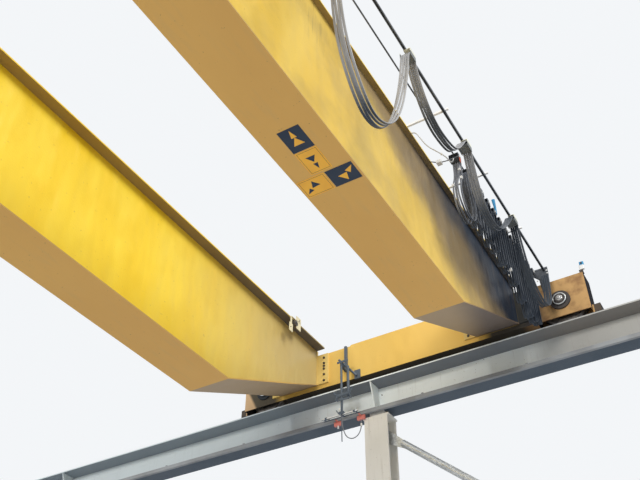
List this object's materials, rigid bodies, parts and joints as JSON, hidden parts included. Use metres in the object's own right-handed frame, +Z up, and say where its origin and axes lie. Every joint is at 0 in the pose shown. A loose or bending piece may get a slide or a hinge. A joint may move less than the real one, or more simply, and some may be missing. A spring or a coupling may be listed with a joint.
{
  "type": "overhead crane",
  "caption": "Double box-girder overhead travelling crane with a cable festoon, on its own runway of columns, beams and braces.",
  "frame": {"origin": "on the floor, in the middle of the runway structure", "axes": "+X along the runway, to the right in the picture, +Y along the girders towards the rail in the picture, +Z up"},
  "size_m": [19, 23.34, 9.755],
  "materials": {
    "bridge_paint": "gloss",
    "soffit_paint": "matt",
    "column_paint": "matt",
    "beam_paint": "matt",
    "stop_paint": "satin",
    "galvanised": "satin",
    "rail_steel": "worn",
    "wheel_steel": "worn",
    "drive_paint": "satin",
    "conductor_cover": "matt",
    "shoe": "matt",
    "arm_paint": "satin",
    "saddle_paint": "satin",
    "flat_cable": "matt",
    "lead": "satin",
    "rope_steel": "satin"
  },
  "bodies": {
    "runway": {"conductor_line": "conductor_cover", "far_brace": "galvanised", "far_column_1": "column_paint", "far_column_2": "column_paint", "far_column_3": "column_paint", "far_column_4": "column_paint", "far_crane_rail": "rail_steel", "far_left_stop": "stop_paint", "far_right_stop": "stop_paint", "far_runway_beam": "beam_paint", "near_brace": "galvanised", "near_column_1": "column_paint", "near_column_2": "column_paint", "near_column_3": "column_paint", "near_column_4": "column_paint", "near_crane_rail": "rail_steel", "near_left_stop": "stop_paint", "near_right_stop": "stop_paint", "near_runway_beam": "beam_paint"},
    "bridge": {"collector_lead": "lead", "collector_mast": "galvanised", "collector_shoes": "shoe", "crab_carriages": "bridge_paint", "crab_cross_beams": "bridge_paint", "far_end_plates": "bridge_paint", "far_travel_drive": "drive_paint", "far_truck_covers": "bridge_paint", "far_truck_inner_side": "bridge_paint", "far_truck_outer_side": "bridge_paint", "feed_lead": "lead", "festoon_arms": "arm_paint", "festoon_drawn_cable": "flat_cable", "festoon_end_bracket": "arm_paint", "festoon_gathered_cable": "flat_cable", "festoon_hangers": "saddle_paint", "festoon_inner_track": "galvanised", "festoon_track": "galvanised", "festoon_trolleys": "saddle_paint", "hoist_drum": "rope_steel", "hoist_machinery": "drive_paint", "hoist_ropes": "rope_steel", "hook_block": "bridge_paint", "left_bottom_flange": "soffit_paint", "left_crab_rail": "rail_steel", "left_top_flange": "bridge_paint", "left_webs": "bridge_paint", "near_end_plates": "bridge_paint", "near_travel_drive": "drive_paint", "near_truck_covers": "bridge_paint", "near_truck_inner_side": "bridge_paint", "near_truck_outer_side": "bridge_paint", "right_bottom_flange": "soffit_paint", "right_crab_rail": "rail_steel", "right_top_flange": "bridge_paint", "right_webs": "bridge_paint"},
    "far_left_wheel": {"far_left_wheel": "wheel_steel"},
    "far_right_wheel": {"far_right_wheel": "wheel_steel"},
    "near_left_wheel": {"near_left_wheel": "wheel_steel"},
    "near_right_wheel": {"near_right_wheel": "wheel_steel"}
  },
  "joints": [
    {"name": "bridge_travel", "type": "slide", "parent": "runway", "child": "bridge", "axis": [1, 0, 0], "range_m": [-9.8, 2.86]},
    {"name": "far_left_wheel_turn", "type": "hinge", "parent": "bridge", "child": "far_left_wheel", "pos_m": [1.09, 11.25, 8.1233], "axis": [0, 1, 0], "range_deg": [-1917, 560]},
    {"name": "far_right_wheel_turn", "type": "hinge", "parent": "bridge", "child": "far_right_wheel", "pos_m": [5.85, 11.25, 8.1233], "axis": [0, 1, 0], "range_deg": [-1917, 560]},
    {"name": "near_left_wheel_turn", "type": "hinge", "parent": "bridge", "child": "near_left_wheel", "pos_m": [1.09, -11.25, 8.1233], "axis": [0, 1, 0], "range_deg": [-1917, 560]},
    {"name": "near_right_wheel_turn", "type": "hinge", "parent": "bridge", "child": "near_right_wheel", "pos_m": [5.85, -11.25, 8.1233], "axis": [0, 1, 0], "range_deg": [-1917, 560]}
  ],
  "couplings": [
    {"joint": "far_left_wheel_turn", "follows": "bridge_travel", "rad_per_m": 3.413},
    {"joint": "far_right_wheel_turn", "follows": "bridge_travel", "rad_per_m": 3.413},
    {"joint": "near_left_wheel_turn", "follows": "bridge_travel", "rad_per_m": 3.413},
    {"joint": "near_right_wheel_turn", "follows": "bridge_travel", "rad_per_m": 3.413}
  ]
}
